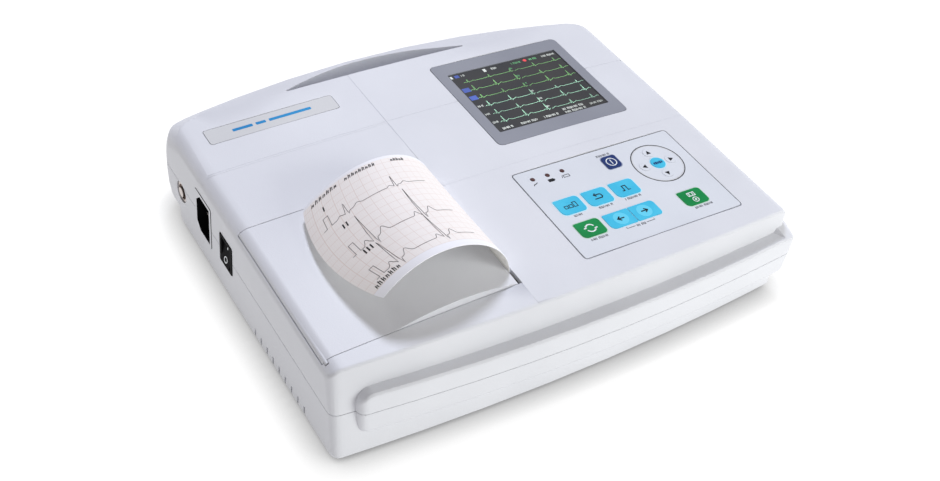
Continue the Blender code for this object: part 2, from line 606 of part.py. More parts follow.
def ribbon(path, y):
    """A path in the XZ plane given the paper's thickness."""
    left, right = [], []
    for i, here in enumerate(path):
        run = Vector(path[min(i + 1, len(path) - 1)]) - Vector(path[max(i - 1, 0)])
        side = Vector((-run.y, run.x)).normalized() * PAPER_T / 2
        left.append((here[0] + side.x, y, here[1] + side.y))
        right.append((here[0] - side.x, y, here[1] - side.y))
    return left + right[::-1]


CURL_START = (PAPER_X, 60.0)
FRONT_CURL = ((-36.0, 88.0), (-80.0, 109.5), (-106.5, 74.5))
REAR_CURL = ((-36.5, 83.0), (-74.0, 102.0), (-108.5, 65.2))
TEAR_OUT, TEAR_DOWN = 8.5, 4.0
STRIP_BANDS = 8


def strip_path(share):
    """The paper's run up from the platen and over; share goes from its front edge to its rear edge."""
    first, second, tip = [Vector(f).lerp(Vector(r), share) for f, r in zip(FRONT_CURL, REAR_CURL)]
    tear = math.sin(math.pi * share) ** 0.8 if 0 < share < 1 else 0.0
    tip -= Vector((TEAR_OUT, TEAR_DOWN)) * tear
    second -= Vector((TEAR_OUT * 0.5, 0.0)) * tear
    return [(PAPER_X, 50.0), (PAPER_X, 55.0)] + bezier(CURL_START, first, second, tip, 14)


def printer():
    idler_z = PLATEN_Z - MODULE * GEAR_TEETH - MESH_SLACK
    pinion_z = idler_z - MODULE * (GEAR_TEETH + PINION_TEETH) / 2 - MESH_SLACK
    sleeve = rod(PLATEN_R, (PLATEN_X, PLATEN_Y0, PLATEN_Z), PLATEN_Y1 - PLATEN_Y0, "Y", 28)
    roller = keep("platen_roller", sleeve, RUBBER)
    cut(roller, helper("cut_roller", rod(SHAFT_R + GAP, (PLATEN_X, -95, PLATEN_Z), 99, "Y", 20)))
    keep("platen_shaft", rod(SHAFT_R, (PLATEN_X, -92.2, PLATEN_Z), 92.0, "Y", 20), STEEL)
    gear("platen_gear", GEAR_TEETH, (PLATEN_X, PLATEN_Z), True, SHAFT_R + GAP)
    gear("idler_gear", GEAR_TEETH, (PLATEN_X, idler_z), False, SHAFT_R + 0.09)
    pinion = gear("motor_pinion", PINION_TEETH, (PLATEN_X, pinion_z), True, 0.6)
    keep("idler_pin", rod(SHAFT_R, (PLATEN_X, -92.2, idler_z), 4.9, "Y", 20), STEEL)
    cut(pinion, helper("add_motor_shaft", rod(1.0, (PLATEN_X, -92.0, pinion_z), 6.4, "Y", 12)), "UNION")
    motor = keep("paper_motor", rod(12.0, (PLATEN_X, -85.2, pinion_z), 20, "Y", 28), STEEL)
    bracket = block((PLATEN_X - 3, -87.0, pinion_z), (PLATEN_X + 3, -83.0, idler_z + 3.5))
    cut(motor, helper("add_motor_frame", bracket), "UNION")
    cut(motor, helper("cut_motor_face", rod(1.09, (PLATEN_X, -95, pinion_z), 10.6, "Y", 12)))
    head = keep("thermal_head", block((-31.8, -86.0, 46.0), (-27.8, -3.0, 57.0)), NYLON)
    cut(head, helper("add_head_line", rod(1.2, (-31.6 + 0.85, -85.0, PLATEN_Z), 81.0, "Y", 12)), "UNION")
    cut(head, helper("add_head_back", block((-28.5, -86.0, 44.0), (-22.4, -3.0, 56.0))), "UNION")
    tray = keep("paper_tray", block((-108, -89.6, 6.0), (-56, -0.4, 44)), WHITE)
    cut(tray, helper("cut_tray", block((-106, -86.6, 8.0), (-58, -3.4, 60))))
    for i, y in enumerate((-90.5, -4.5)):
        slot = merged(block((ROLL_X - 3.4, y, ROLL_Z - 3.4), (ROLL_X + 3.4, y + 5, 60)))
        cut(tray, helper(f"cut_tray_slot_{i}", slot))
    roll = keep("paper_roll", rod(ROLL_R, (ROLL_X, PAPER_Y0, ROLL_Z), PAPER_Y1 - PAPER_Y0, "Y", 40), PAPER)
    cut(roll, helper("cut_roll", rod(CORE_R + GAP, (ROLL_X, -95, ROLL_Z), 99, "Y", 24)))
    core = keep("roll_spindle", rod(CORE_R, (ROLL_X, -85.8, ROLL_Z), 81.8, "Y", 24), NYLON)
    cut(core, helper("add_spindle_pins", rod(3.0, (ROLL_X, -89.2, ROLL_Z), 88.6, "Y", 16)), "UNION")
    bands = [i / STRIP_BANDS for i in range(STRIP_BANDS + 1)]
    rows = [ribbon(strip_path(t), PAPER_Y0 + (PAPER_Y1 - PAPER_Y0) * t) for t in bands]
    keep("paper_strip", loft(rows), PAPER)


def boards():
    main = keep("main_board", block((-16, -100, 34.0), (112, 86, 35.6)), BOARD)
    chips = ((0, -60, 22, 22, 4), (50, -70, 30, 12, 7), (70, 20, 26, 26, 3), (10, 50, 40, 10, 8))
    for i, (x, y, w, d, h) in enumerate(chips):
        cut(main, helper(f"add_chip_{i}", block((x, y, 35), (x + w, y + d, 35.6 + h))), "UNION")
    power = keep("power_board", block((-118, 14, 8.0), (28, 34, 9.6)), BOARD)
    cut(power, helper("add_power_wing", block((-52, 14, 8.0), (28, 86, 9.6))), "UNION")
    cut(power, helper("add_transformer", block((-34, 36, 9), (-2, 68, 29))), "UNION")
    cut(power, helper("add_capacitor", rod(8.0, (14, 60, 9), 18, sides=16)), "UNION")
    keep("speaker", rod(13.0, (16, -70, 5.2), 5.0, sides=24, end_radius=8.0), BLACK)


shared_cutters = case_cutters()
upper_case(shared_cutters)
lower_case(shared_cutters)
underside()
display()
key_panel()
side_fittings()
paper_door()
printer()
boards()
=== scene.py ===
"""Looks for the ECG recorder: materials, seams, key symbols, screen content, chart print, light and camera.
Lengths are millimetres until they are placed. The frame is the CAD one: +X right, +Y rear, +Z up."""

import json
import math

import bmesh
import bpy
from mathutils import Matrix, Vector


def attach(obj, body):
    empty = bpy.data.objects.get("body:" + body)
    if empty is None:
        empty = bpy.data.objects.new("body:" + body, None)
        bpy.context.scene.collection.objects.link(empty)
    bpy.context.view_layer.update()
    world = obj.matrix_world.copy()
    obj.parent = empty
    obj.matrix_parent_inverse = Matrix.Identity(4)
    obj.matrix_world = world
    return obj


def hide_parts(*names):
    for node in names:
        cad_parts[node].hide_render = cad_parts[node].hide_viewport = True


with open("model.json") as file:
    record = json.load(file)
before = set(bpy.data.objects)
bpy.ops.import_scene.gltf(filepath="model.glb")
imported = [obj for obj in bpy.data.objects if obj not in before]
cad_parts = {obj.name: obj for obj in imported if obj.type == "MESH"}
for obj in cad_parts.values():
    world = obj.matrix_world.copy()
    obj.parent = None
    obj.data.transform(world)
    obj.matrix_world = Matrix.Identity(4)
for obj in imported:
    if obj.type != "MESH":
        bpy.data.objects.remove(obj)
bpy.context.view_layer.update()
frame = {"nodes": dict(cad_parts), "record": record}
nodes = frame["nodes"]

MM = 0.001

# The case's top, as in the CAD
CROWN = 1.73e-4
TOP_HEIGHT = 62.0
CREASE_Y = -14.6
KEY_SLOPE = math.tan(math.radians(0.7))
HALF_WIDTH = 144.0
TOP_EDGE = 7.0
REAR_Y = 95.0
FRONT_TOP_Y = -111.5

PANEL_X, PANEL_Y, PANEL_W, PANEL_D = 63.8, -58.8, 110.3, 71.6
SCREEN_X, SCREEN_Y, SCREEN_W = 63.7, 41.7, 93.0
PLATE_X, PLATE_Y, PLATE_W = -88.7, 75.3, 78.5
KEY_RISE = 0.4
FILM_TOP = 0.1
NAV_X, NAV_Y, NAV_RING, PAD_RING, PAD_R, MENU_R = 95.5, -46.3, 15.9, 9.4, 3.3, 4.5
INK = 0.05

PAPER_Y0, PAPER_Y1 = -84.4, -4.4
PAPER_X, PAPER_T = -32.35, 0.3
CURL_START = (PAPER_X, 60.0)
FRONT_CURL = ((-36.0, 88.0), (-80.0, 109.5), (-106.5, 74.5))
REAR_CURL = ((-36.5, 83.0), (-74.0, 102.0), (-108.5, 65.2))
TEAR_OUT, TEAR_DOWN = 8.5, 4.0


def arc_drop(distance, start, radius):
    """How far a rounded edge falls away beyond start."""
    reach = min(max(distance - start, 0.0), radius)
    return radius - math.sqrt(radius * radius - reach * reach)


def top_z(x, y):
    fall = KEY_SLOPE * max(0.0, CREASE_Y - y)
    return TOP_HEIGHT - CROWN * x * x - fall - arc_drop(abs(x), HALF_WIDTH - TOP_EDGE, TOP_EDGE)


def panel_frame(x, y, width, slope):
    """A flat panel let into the crown, in millimetres: its XY plane meets the crown at both side edges."""
    left, right = x - width / 2, x + width / 2
    tilt = math.atan(CROWN * (right * right - left * left) / width)
    chord = TOP_HEIGHT - CROWN * (left * left + right * right) / 2
    fall = KEY_SLOPE * max(0.0, CREASE_Y - y)
    place = Matrix.Translation((x, y, chord - fall))
    return place @ Matrix.Rotation(tilt, 4, "Y") @ Matrix.Rotation(math.atan(slope), 4, "X")


PANEL = panel_frame(PANEL_X, PANEL_Y, PANEL_W, KEY_SLOPE)
DISPLAY = panel_frame(SCREEN_X, SCREEN_Y, SCREEN_W, 0.0)
NAMEPLATE = panel_frame(PLATE_X, PLATE_Y, PLATE_W, 0.0)


# ---------------------------------------------------------------- materials

def shader_of(material):
    return material.node_tree.nodes["Principled BSDF"]


def finish(name, dark, light, roughness=(0.35, 0.5), patch=18.0, grain=900.0, bump=0.05, metallic=0.0,
           shine=0.5, soften=0.0):
    """A procedural finish: colour patches, roughness patches and a fine surface grain."""
    made = bpy.data.materials.new(name)
    made.use_nodes = True
    tree = made.node_tree
    shader = shader_of(made)
    shader.inputs["Metallic"].default_value = metallic
    shader.inputs["Specular IOR Level"].default_value = shine
    place = tree.nodes.new("ShaderNodeTexCoord")
    patches = tree.nodes.new("ShaderNodeTexNoise")
    patches.inputs["Scale"].default_value = patch
    patches.inputs["Detail"].default_value = 4.0
    tree.links.new(place.outputs["Object"], patches.inputs["Vector"])
    tint = tree.nodes.new("ShaderNodeValToRGB")
    tint.color_ramp.elements[0].position = 0.35
    tint.color_ramp.elements[0].color = (*dark, 1.0)
    tint.color_ramp.elements[1].position = 0.65
    tint.color_ramp.elements[1].color = (*light, 1.0)
    tree.links.new(patches.outputs["Fac"], tint.inputs["Fac"])
    tree.links.new(tint.outputs["Color"], shader.inputs["Base Color"])
    rough = tree.nodes.new("ShaderNodeMapRange")
    rough.inputs["To Min"].default_value = roughness[0]
    rough.inputs["To Max"].default_value = roughness[1]
    tree.links.new(patches.outputs["Fac"], rough.inputs["Value"])
    tree.links.new(rough.outputs["Result"], shader.inputs["Roughness"])
    fine = tree.nodes.new("ShaderNodeTexNoise")
    fine.inputs["Scale"].default_value = grain
    fine.inputs["Detail"].default_value = 3.0
    tree.links.new(place.outputs["Object"], fine.inputs["Vector"])
    relief = tree.nodes.new("ShaderNodeBump")
    relief.inputs["Strength"].default_value = bump
    relief.inputs["Distance"].default_value = 0.0004
    tree.links.new(fine.outputs["Fac"], relief.inputs["Height"])
    tree.links.new(relief.outputs["Normal"], shader.inputs["Normal"])
    if soften:
        edge = tree.nodes.new("ShaderNodeBevel")
        edge.samples = 4
        edge.inputs["Radius"].default_value = soften
        tree.links.new(edge.outputs["Normal"], relief.inputs["Normal"])
    return made


def glowing(name, colour, strength):
    made = finish(name, [0.4 * c for c in colour], colour, patch=60.0, bump=0.0)
    shader = shader_of(made)
    shader.inputs["Emission Color"].default_value = (*colour, 1.0)
    shader.inputs["Emission Strength"].default_value = strength
    return made


# Base colours are linear, dark patches first
CASE = finish("case_plastic", (0.65, 0.66, 0.70), (0.685, 0.695, 0.735), (0.42, 0.52), grain=1400, bump=0.10,
              shine=0.35, soften=0.0005)
BEZEL = finish("bezel_grey", (0.235, 0.245, 0.285), (0.265, 0.275, 0.315), (0.45, 0.55), bump=0.08, shine=0.3)
FILM = finish("panel_film", (0.635, 0.66, 0.71), (0.67, 0.695, 0.745), (0.5, 0.6), grain=2500, bump=0.12,
              shine=0.2)
PLATE = finish("nameplate_film", (0.575, 0.58, 0.59), (0.615, 0.62, 0.63), (0.45, 0.55), bump=0.06, shine=0.3)
BLUE = finish("key_blue", (0.05, 0.48, 0.72), (0.07, 0.53, 0.76), (0.45, 0.55), patch=90, bump=0.03,
              shine=0.12)
BLUE_LIGHT = finish("key_blue_light", (0.10, 0.58, 0.80), (0.14, 0.63, 0.84), (0.45, 0.55), bump=0.03,
                    shine=0.12)
GREEN = finish("key_green", (0.004, 0.215, 0.052), (0.008, 0.265, 0.07), (0.45, 0.55), patch=90, bump=0.03,
               shine=0.12)
NAVY = finish("key_navy", (0.010, 0.025, 0.12), (0.016, 0.04, 0.16), (0.45, 0.55), patch=90, bump=0.03,
              shine=0.12)
BLACK = finish("black_plastic", (0.003, 0.003, 0.0035), (0.007, 0.007, 0.008), (0.5, 0.62), grain=1500,
               bump=0.10, shine=0.03)
RUBBER = finish("foot_rubber", (0.02, 0.02, 0.02), (0.045, 0.045, 0.045), (0.75, 0.9), grain=1200, bump=0.3)
STEEL = finish("plain_steel", (0.45, 0.45, 0.46), (0.62, 0.62, 0.63), (0.22, 0.38), grain=700, bump=0.1,
               metallic=1.0)
NICKEL = finish("nickel_plate", (0.36, 0.30, 0.28), (0.55, 0.49, 0.46), (0.14, 0.28), grain=500, bump=0.05,
                metallic=1.0)
BOARD = finish("solder_mask", (0.01, 0.12, 0.035), (0.02, 0.18, 0.06), (0.3, 0.45), patch=200, bump=0.2)
NYLON = finish("nylon", (0.68, 0.66, 0.58), (0.76, 0.74, 0.66), (0.4, 0.55), patch=120, bump=0.08)
GLASS = finish("screen_glass", (0.040, 0.042, 0.045), (0.048, 0.047, 0.047), (0.3, 0.4), patch=40,
               bump=0.0, shine=0.2)
LENS = finish("led_lens", (0.035, 0.010, 0.010), (0.09, 0.03, 0.025), (0.3, 0.4), patch=300, bump=0.0,
              shine=0.3)
CORE = finish("roll_paper", (0.80, 0.76, 0.70), (0.86, 0.82, 0.78), (0.6, 0.75), patch=120, bump=0.1)
INK_BLACK = finish("ink_black", (0.010, 0.010, 0.012), (0.022, 0.022, 0.025), (0.5, 0.6), bump=0.02,
                   shine=0.1)
INK_SOFT = finish("ink_soft", (0.03, 0.03, 0.035), (0.07, 0.07, 0.08), (0.5, 0.6), bump=0.02, shine=0.1)
INK_WHITE = finish("ink_white", (0.72, 0.76, 0.78), (0.82, 0.86, 0.88), (0.5, 0.6), bump=0.02, shine=0.1)
INK_BLUE = finish("ink_blue", (0.015, 0.22, 0.52), (0.03, 0.30, 0.62), (0.45, 0.55), bump=0.02, shine=0.1)
# Lighter tones of the key colours for the rings round the keys: a painted highlight on each raised key's rim
RIM_HIGHLIGHT = finish("key_rim_highlight", (0.42, 0.78, 0.90), (0.48, 0.83, 0.94), (0.5, 0.6), bump=0.02, shine=0.1)
RIM_HIGHLIGHT_NAVY = finish("key_rim_highlight_navy", (0.30, 0.34, 0.46), (0.38, 0.42, 0.54), (0.5, 0.6), bump=0.02, shine=0.1)
RIM_HIGHLIGHT_GREEN = finish("key_rim_highlight_green", (0.42, 0.62, 0.48), (0.50, 0.70, 0.56), (0.5, 0.6), bump=0.02,
                    shine=0.1)
TRACE = glowing("screen_trace", (0.25, 0.62, 0.20), 0.55)
TRACE_PALE = glowing("screen_trace_pale", (0.45, 0.85, 0.60), 0.6)
SCREEN_MARK = glowing("screen_mark", (0.70, 0.74, 0.70), 0.45)
SCREEN_GREEN = glowing("screen_green", (0.15, 0.55, 0.22), 0.3)
SCREEN_BLUE = glowing("screen_blue", (0.04, 0.09, 0.42), 0.35)
SCREEN_RED = glowing("screen_red", (0.75, 0.05, 0.06), 0.5)
CHART_INK = finish("chart_ink", (0.06, 0.055, 0.06), (0.14, 0.13, 0.13), (0.6, 0.7), bump=0.0, shine=0.1)

BY_NODE = {
    BEZEL: ("display_bezel",), GLASS: ("display_window",), PLATE: ("nameplate",),
    FILM: ("keypad_overlay", "up_key", "right_key", "down_key", "left_key"),
    GREEN: ("mode_key", "print_key"), NAVY: ("power_key",),
    LENS: ("mains_led", "battery_led", "charge_led"),
}
BY_SLOT = {
    "white_plastic": CASE, "black_plastic": BLACK, "blue_key": BLUE, "circuit_board": BOARD, "steel": STEEL,
    "nickel": NICKEL, "rubber": RUBBER, "paper": CORE, "nylon": NYLON,
}
named = {node: look for look, group in BY_NODE.items() for node in group}
for part in frame["record"]["subparts"]:
    look = named.get(part["node"]) or BY_SLOT.get(part["material_slot"])
    if look:
        mesh = nodes[part["node"]].data
        mesh.materials.clear()
        mesh.materials.append(look)


# ---------------------------------------------------------------- mesh helpers

def publish(name, shape, look, body, smooth=30.0):
    """A bmesh in millimetres becomes a piece that rides a body."""
    bmesh.ops.recalc_face_normals(shape, faces=shape.faces)
    bmesh.ops.scale(shape, vec=(MM,) * 3, verts=shape.verts)
    mesh = bpy.data.meshes.new(name)
    shape.to_mesh(mesh)
    shape.free()
    mesh.shade_smooth()
    mesh.set_sharp_from_angle(angle=math.radians(smooth))
    obj = bpy.data.objects.new(name, mesh)
    bpy.context.scene.collection.objects.link(obj)
    mesh.materials.append(look)
    if body:
        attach(obj, body)
    return obj


def add_slab(shape, outline, low, high, place):
    """A flat closed prism over an outline in a frame's XY plane."""
    rows = [[shape.verts.new(place @ Vector((x, y, z))) for x, y in outline] for z in (low, high)]
    count = len(outline)
    for i in range(count):
        j = (i + 1) % count
        shape.faces.new((rows[0][i], rows[0][j], rows[1][j], rows[1][i]))
    shape.faces.new(rows[0][::-1])
    shape.faces.new(rows[1])


def add_stroke(shape, points, ups, width, thick, closed=False):
    """A ribbon of constant width along 3-D points, standing thick proud along the up vectors."""
    rows = []
    count = len(points)
    for i, (here, up) in enumerate(zip(points, ups)):
        before = points[i - 1] if i or closed else here
        after = points[(i + 1) % count] if i + 1 < count or closed else here
        back, ahead = (here - before), (after - here)
        back = (back if back.length > 1e-9 else ahead).normalized()
        ahead = (ahead if ahead.length > 1e-9 else back).normalized()
        run = back + ahead
        run = run.normalized() if run.length > 0.2 else ahead
        side = up.cross(run).normalized()
        stretch = min(1.6, 1.0 / max(0.3, abs(run.dot(ahead))))
        half = side * width / 2 * stretch
        low = (here + half, here - half)
        high = (here - half + up * thick, here + half + up * thick)
        rows.append([shape.verts.new(p) for p in low + high])
    spans = range(count) if closed else range(count - 1)
    for i in spans:
        near, far = rows[i], rows[(i + 1) % count]
        for k in range(4):
            m = (k + 1) % 4
            shape.faces.new((near[k], near[m], far[m], far[k]))
    if not closed:
        shape.faces.new(rows[0])
        shape.faces.new(rows[-1][::-1])


def flat_stroke(shape, points, width, low, place, closed=False, thick=INK):
    up = (place.to_3x3() @ Vector((0, 0, 1))).normalized()
    spots = [place @ Vector((x, y, low)) for x, y in points]
    add_stroke(shape, spots, [up] * len(spots), width, thick, closed)


def arc(cx, cy, radius, start, end, steps=16):
    """Points on an arc; angles in degrees."""
    turns = [math.radians(start + (end - start) * i / steps) for i in range(steps + 1)]
    return [(cx + radius * math.cos(turn), cy + radius * math.sin(turn)) for turn in turns]


def circle(cx, cy, radius, sides=32):
    return arc(cx, cy, radius, 0, 360, sides)[:-1]


def rounded(cx, cy, width, depth, radii, steps=4):
    """Counter-clockwise outline; radii run from the rear right corner round to the left."""
    points = []
    for turn, ((sx, sy), r) in enumerate(zip(((1, 1), (-1, 1), (-1, -1), (1, -1)), radii)):
        x, y = cx + sx * (width / 2 - r), cy + sy * (depth / 2 - r)
        points += arc(x, y, r, 90 * turn, 90 * turn + 90, steps)
    return points


def on_panel(x, y):
    return x - PANEL_X, y - PANEL_Y


# ---------------------------------------------------------------- shells and seams

BODY_OF = {"paper_door": "door", "power_rocker": "rocker"}
WELD = 2e-6
FLAT_DEGREES = 0.05


def shell(name, node, angle):
    """A welded copy of a CAD node, shaded smooth over its rounded faces, that stands in the node's place.
    Edges over angle degrees stay sharp."""
    source = nodes[node]
    shape = bmesh.new()
    shape.from_mesh(source.data)
    bmesh.ops.remove_doubles(shape, verts=shape.verts, dist=WELD)
    bmesh.ops.dissolve_limit(shape, angle_limit=math.radians(FLAT_DEGREES), verts=shape.verts,
                             edges=shape.edges)
    mesh = bpy.data.meshes.new(name)
    shape.to_mesh(mesh)
    shape.free()
    stored = mesh.attributes.get("custom_normal")
    if stored:
        mesh.attributes.remove(stored)
    mesh.shade_smooth()
    mesh.set_sharp_from_angle(angle=math.radians(angle))
    mesh.materials.clear()
    mesh.materials.append(source.data.materials[0])
    obj = bpy.data.objects.new(name, mesh)
    bpy.context.scene.collection.objects.link(obj)
    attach(obj, BODY_OF.get(node, "case"))
    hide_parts(node)
    return obj


def even(obj):
    """Large faces keep their flat look beside small rounded ones."""
    step = obj.modifiers.new("even_normals", "WEIGHTED_NORMAL")
    step.keep_sharp = True
    step.weight = 80


def groove(name, points, width, depth):
    """Cuts a V-shaped line into the case's top, through plan points."""
    shape = bmesh.new()
    rows = []
    for i, (x, y) in enumerate(points):
        run = Vector(points[min(i + 1, len(points) - 1)]) - Vector(points[max(i - 1, 0)])
        side = Vector((-run.y, run.x)).normalized() * width / 2
        z = top_z(x, y)
        near_side = (x + side.x * 2, y + side.y * 2, z + depth)
        far_side = (x - side.x * 2, y - side.y * 2, z + depth)
        rows.append([shape.verts.new(p) for p in (near_side, (x, y, z - depth), far_side)])
    for near, far in zip(rows, rows[1:]):
        for k in range(3):
            shape.faces.new((near[k], near[(k + 1) % 3], far[(k + 1) % 3], far[k]))
    shape.faces.new(rows[0])
    shape.faces.new(rows[-1])
    cutter = publish(name, shape, CASE, None)
    cutter.hide_render = True
    cutter.hide_viewport = True
    cutter.display_type = "WIRE"
    step = TOP.modifiers.new(name, "BOOLEAN")
    step.object = cutter


def across(y, start, end, steps=24):
    return [(start + (end - start) * i / steps, y) for i in range(steps + 1)]


SEAM_END = HALF_WIDTH - 0.5
SPLIT_X = -31.3
SPLIT_STOPS = (REAR_Y - 0.5, 60.0, 30.0, 0.0, CREASE_Y, -60.0, FRONT_TOP_Y + 1)
TOP = shell("case_top", "upper_case", 26.0)
groove("seam_rear", across(47.0, -SEAM_END, SEAM_END, 60), 0.5, 0.35)
groove("seam_rear_twin", across(45.4, -SEAM_END, SPLIT_X, 30), 0.4, 0.25)
groove("seam_middle", [(SPLIT_X, y) for y in SPLIT_STOPS], 0.6, 0.45)
groove("seam_keys", across(CREASE_Y, SPLIT_X, SEAM_END, 36), 0.35, 0.2)
even(TOP)

SKINS = (("case_base", "lower_case", 26.0), ("door_skin", "paper_door", 50.0),
         ("screen_bezel", "display_bezel", 26.0), ("panel_skin", "keypad_overlay", 26.0),
         ("inlet_skin", "mains_inlet", 26.0), ("rocker_skin", "power_rocker", 26.0))
for name, node, angle in SKINS:
    skin = shell(name, node, angle)
    even(skin)
    if node == "mains_inlet":
        # The flange's front is the case's colour, the socket behind it black
        skin.data.materials.append(CASE)
        outermost = min(vertex.co.x for vertex in skin.data.vertices)
        for face in skin.data.polygons:
            face.material_index = int(face.center.x < outermost + 0.05 * MM)


# ---------------------------------------------------------------- keys and panel print

# Each key's place, size and corner radii; a leaf has two sharper corners
LEAF = (2.2, 0.9, 3.2, 2.2)
KEYS = {
    "power_key": (69.8, -35.2, 10.2, 10.2, (1.2, 2.6, 1.2, 2.6)),
    "sensitivity_key": (25.3, -56.7, 16.0, 12.0, LEAF),
    "recall_key": (44.2, -56.7, 16.0, 12.0, LEAF),
    "copy_key": (63.2, -56.7, 16.0, 12.0, LEAF),
    "mode_key": (25.2, -76.0, 16.0, 11.6, LEAF),
    "print_key": (95.8, -78.2, 16.0, 11.8, LEAF),
}


LEAD_Y = -76.4
LEAD_RADII = {"back": (0.4, 0.9, 3.2, 0.4), "forward": (2.2, 0.4, 0.4, 2.2)}
LEAD_PLACES = {"back": (44.8, 45.6), "forward": (62.6, 61.8)}
WAYS = (("up", 0, 1), ("right", 1, 0), ("down", 0, -1), ("left", -1, 0))
CORNERS = ((-1, -1), (1, -1), (1, 1), (-1, 1))
TRIM_GAP, TRIM_LOW, TRIM_HIGH = 0.04, -0.25, 0.03


def trim(name, outline, look, width):
    """A thin ring that fills the gap round a key and leaves the key free to move. In the lighter tones of the
    keys' own colours it is a painted highlight on the raised key rim; round the pads it takes the film's
    colour.
    """
    shape = bmesh.new()
    count = len(outline)
    middle = sum((Vector(p) for p in outline), Vector((0.0, 0.0))) / count
    rows = []
    for i, spot in enumerate(outline):
        run = Vector(outline[(i + 1) % count]) - Vector(outline[i - 1])
        out = Vector((run.y, -run.x)).normalized()
        if out.dot(Vector(spot) - middle) < 0:
            out = -out
        inner, outer = Vector(spot) + out * TRIM_GAP, Vector(spot) + out * (TRIM_GAP + width)
        section = ((inner, TRIM_LOW), (outer, TRIM_LOW), (outer, TRIM_HIGH), (inner, TRIM_HIGH))
        rows.append([shape.verts.new(PANEL @ Vector((p.x, p.y, FILM_TOP + z))) for p, z in section])
    for i, near in enumerate(rows):
        far = rows[(i + 1) % count]
        for k in range(4):
            shape.faces.new((near[k], near[(k + 1) % 4], far[(k + 1) % 4], far[k]))
    publish(name, shape, look, "case")


# Each key's ring is a lighter tone of its own colour, a painted highlight on the raised rim
for key, (x, y, w, d, radii) in KEYS.items():
    look = {"power_key": RIM_HIGHLIGHT_NAVY, "mode_key": RIM_HIGHLIGHT_GREEN, "print_key": RIM_HIGHLIGHT_GREEN}.get(key, RIM_HIGHLIGHT)
    cx, cy = on_panel(x, y)
    trim("trim_" + key, rounded(cx, cy, w, d, radii, 6), look, 0.55)
for side, radii in LEAD_RADII.items():
    cx, cy = on_panel(LEAD_PLACES[side][0], LEAD_Y)
    trim(f"trim_lead_{side}_key", rounded(cx, cy, 17.2, 11.4, radii, 6), RIM_HIGHLIGHT, 0.24)
for key, ax, ay in WAYS:
    cx, cy = on_panel(NAV_X + ax * PAD_RING, NAV_Y + ay * PAD_RING)
    trim(f"trim_{key}_key", circle(cx, cy, PAD_R, 16), FILM, 0.35)
shape = bmesh.new()
cx, cy = on_panel(53.7, LEAD_Y)
add_slab(shape, [(cx + ax * 0.15, cy + ay * 5.2) for ax, ay in CORNERS],
         FILM_TOP + TRIM_LOW, FILM_TOP + TRIM_HIGH, PANEL)
publish("trim_between_leads", shape, BLUE, "case")
cx, cy = on_panel(NAV_X, NAV_Y)
trim("trim_menu_key", circle(cx, cy, MENU_R, 20), RIM_HIGHLIGHT, 0.5)


def symbol(name, body, look, x, y, strokes=(), dots=(), width=0.8, level=KEY_RISE):
    """Line and dot marks about a plan point on the key panel."""
    shape = bmesh.new()
    cx, cy = on_panel(x, y)
    for points, closed in strokes:
        flat_stroke(shape, [(cx + px, cy + py) for px, py in points], width, level, PANEL, closed)
    for outline in dots:
        add_slab(shape, [(cx + px, cy + py) for px, py in outline], level, level + INK, PANEL)
    publish(name, shape, look, body)


def box_outline(cx, cy, w, h):
    return [(cx + sx * w / 2, cy + sy * h / 2) for sx, sy in CORNERS]


def arrow(way):
    """An arrow to the right for way 1, to the left for -1."""
    head = [(0.3 * way, 1.5), (2.2 * way, 0), (0.3 * way, -1.5)]
    return [([(-2.2 * way, 0), (2.0 * way, 0)], False), (head, False)]


x, y = KEYS["sensitivity_key"][:2]
symbol("mark_sensitivity", "sensitivity_key_body", INK_BLACK, x, y, [
    (box_outline(-3.0, -0.7, 2.0, 2.0), True), (box_outline(0.0, -0.7, 2.2, 2.2), True),
    (box_outline(3.1, 0.0, 2.2, 3.6), True)], width=0.45)
x, y = KEYS["recall_key"][:2]
symbol("mark_recall", "recall_key_body", INK_BLACK, x, y, [
    ([(-2.6, -1.4), (2.0, -1.4), (2.8, -0.6), (2.8, 0.8), (2.0, 1.6), (-1.6, 1.6)], False),
    ([(-0.4, 2.8), (-1.8, 1.6), (-0.4, 0.4)], False)], width=0.7)
x, y = KEYS["copy_key"][:2]
symbol("mark_copy", "copy_key_body", INK_BLACK, x, y, [
    ([(-2.8, -1.9), (-1.2, -1.9), (-1.2, 1.9), (1.2, 1.9), (1.2, -1.9), (2.8, -1.9)], False)], width=0.6)
for side, way in (("back", -1), ("forward", 1)):
    body, x = f"lead_{side}_key_body", LEAD_PLACES[side][1]
    symbol(f"disc_lead_{side}", body, BLUE_LIGHT, x, LEAD_Y, dots=[circle(0, 0, 4.6, 28)])
    symbol(f"mark_lead_{side}", body, INK_BLACK, x, LEAD_Y, arrow(way), level=KEY_RISE + INK)
x, y = KEYS["mode_key"][:2]
symbol("mark_mode", "mode_key_body", INK_WHITE, x, y, [
    (arc(0, 0, 2.7, 20, 160), False), (arc(0, 0, 2.7, 200, 340), False),
    ([(-4.0, 0.6), (-2.5, 0.8), (-2.1, 2.3)], False),
    ([(4.0, -0.6), (2.5, -0.8), (2.1, -2.3)], False)], width=0.75)
x, y = KEYS["print_key"][:2]
symbol("mark_print", "print_key_body", INK_WHITE, x, y, [
    (box_outline(0, 2.2, 4.6, 2.6), True),
    ([(-1.2, 3.5), (-1.2, 0.9)], False), ([(1.0, 3.5), (1.0, 0.9)], False),
    (circle(0.2, -2.3, 1.8, 20), True)], dots=[circle(0.2, -2.3, 0.7, 12)], width=0.5)
x, y = KEYS["power_key"][:2]
symbol("mark_power", "power_key_body", INK_WHITE, x, y, [
    (circle(0, 0, 3.1, 28), True), ([(0, -1.9), (0, 1.9)], False)], width=0.6)
